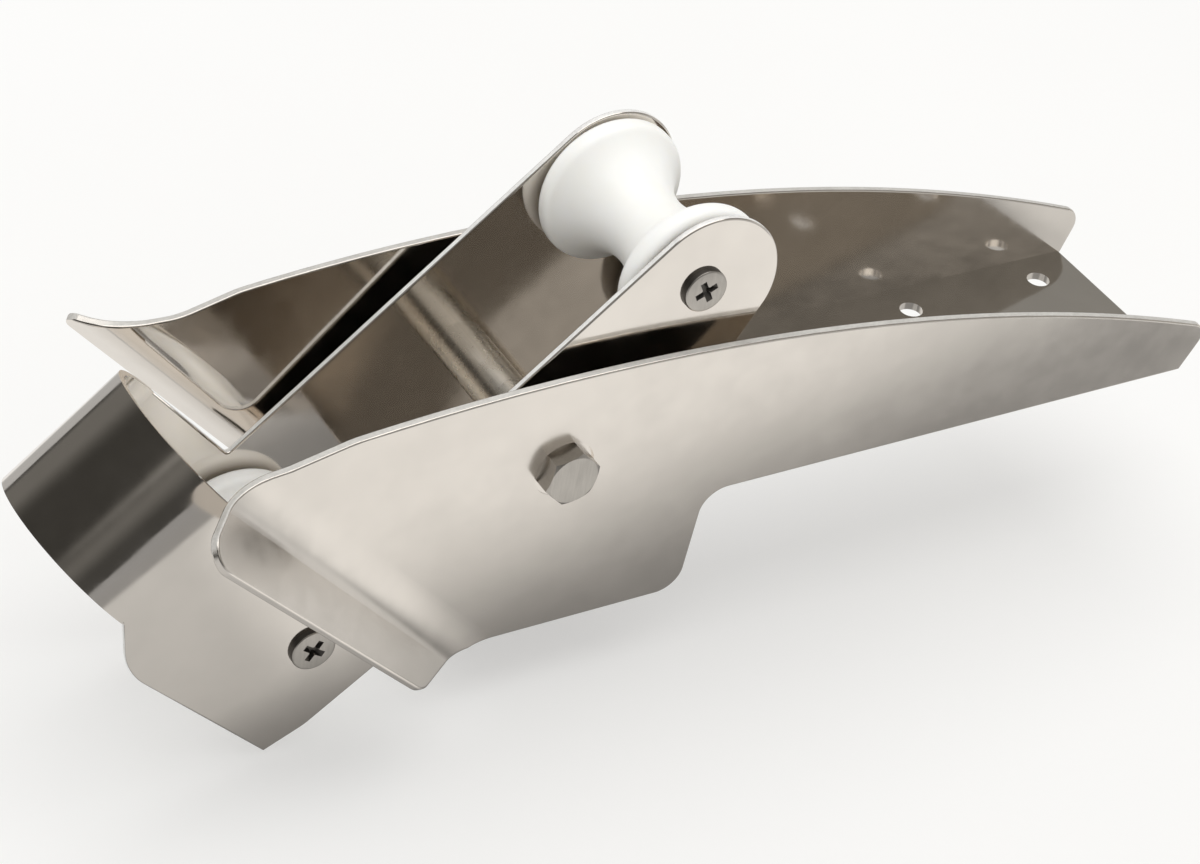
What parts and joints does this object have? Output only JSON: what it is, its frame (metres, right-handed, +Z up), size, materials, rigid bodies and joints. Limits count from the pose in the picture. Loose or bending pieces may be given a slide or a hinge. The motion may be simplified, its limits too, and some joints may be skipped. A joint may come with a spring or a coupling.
{
  "type": "tilting bow roller",
  "caption": "Deck channel with flared side plates, holding a tilting cradle that carries waisted rollers and a half round nose hood to launch and stow an anchor.",
  "frame": {"origin": "centre of the four deck bolt holes, on the underside of the base plate", "axes": "+X over the bow along the channel, +Y to port, +Z up from the deck"},
  "size_m": [0.4601, 0.1262, 0.183],
  "materials": {
    "polished_steel": "mirror polished stainless sheet",
    "fastener_steel": "satin stainless fasteners",
    "tube_steel": "drawn stainless tube",
    "nylon": "turned white nylon"
  },
  "bodies": {
    "channel": {"base_plate": "polished_steel", "port_cheek": "polished_steel", "starboard_cheek": "polished_steel", "pivot_bolt": "fastener_steel", "pivot_nut": "fastener_steel", "pivot_nut_insert": "nylon", "port_pivot_spacer": "tube_steel", "starboard_pivot_spacer": "tube_steel"},
    "cradle": {"hinge_tube": "tube_steel", "cradle_port_cheek": "polished_steel", "cradle_starboard_cheek": "polished_steel", "cradle_floor": "polished_steel", "nose_hood": "polished_steel", "rear_axle": "tube_steel", "rear_axle_screws": "fastener_steel", "rear_roller_washers": "tube_steel", "front_axle": "tube_steel", "front_axle_screws": "fastener_steel", "front_roller_washers": "tube_steel"},
    "rear_roller": {"rear_roller": "nylon"},
    "front_roller": {"front_roller": "nylon"}
  },
  "joints": [
    {"name": "cradle_tilt", "type": "hinge", "parent": "channel", "child": "cradle", "pos_m": [0.222, 0, 0.029], "axis": [0, -1, 0], "range_deg": [0, 44.5]},
    {"name": "rear_roller_spin", "type": "hinge", "parent": "cradle", "child": "rear_roller", "pos_m": [0.17297, 0, 0.08551], "axis": [0, 1, 0], "continuous": true},
    {"name": "front_roller_spin", "type": "hinge", "parent": "cradle", "child": "front_roller", "pos_m": [0.30623, 0, -0.0287], "axis": [0, 1, 0], "continuous": true}
  ]
}
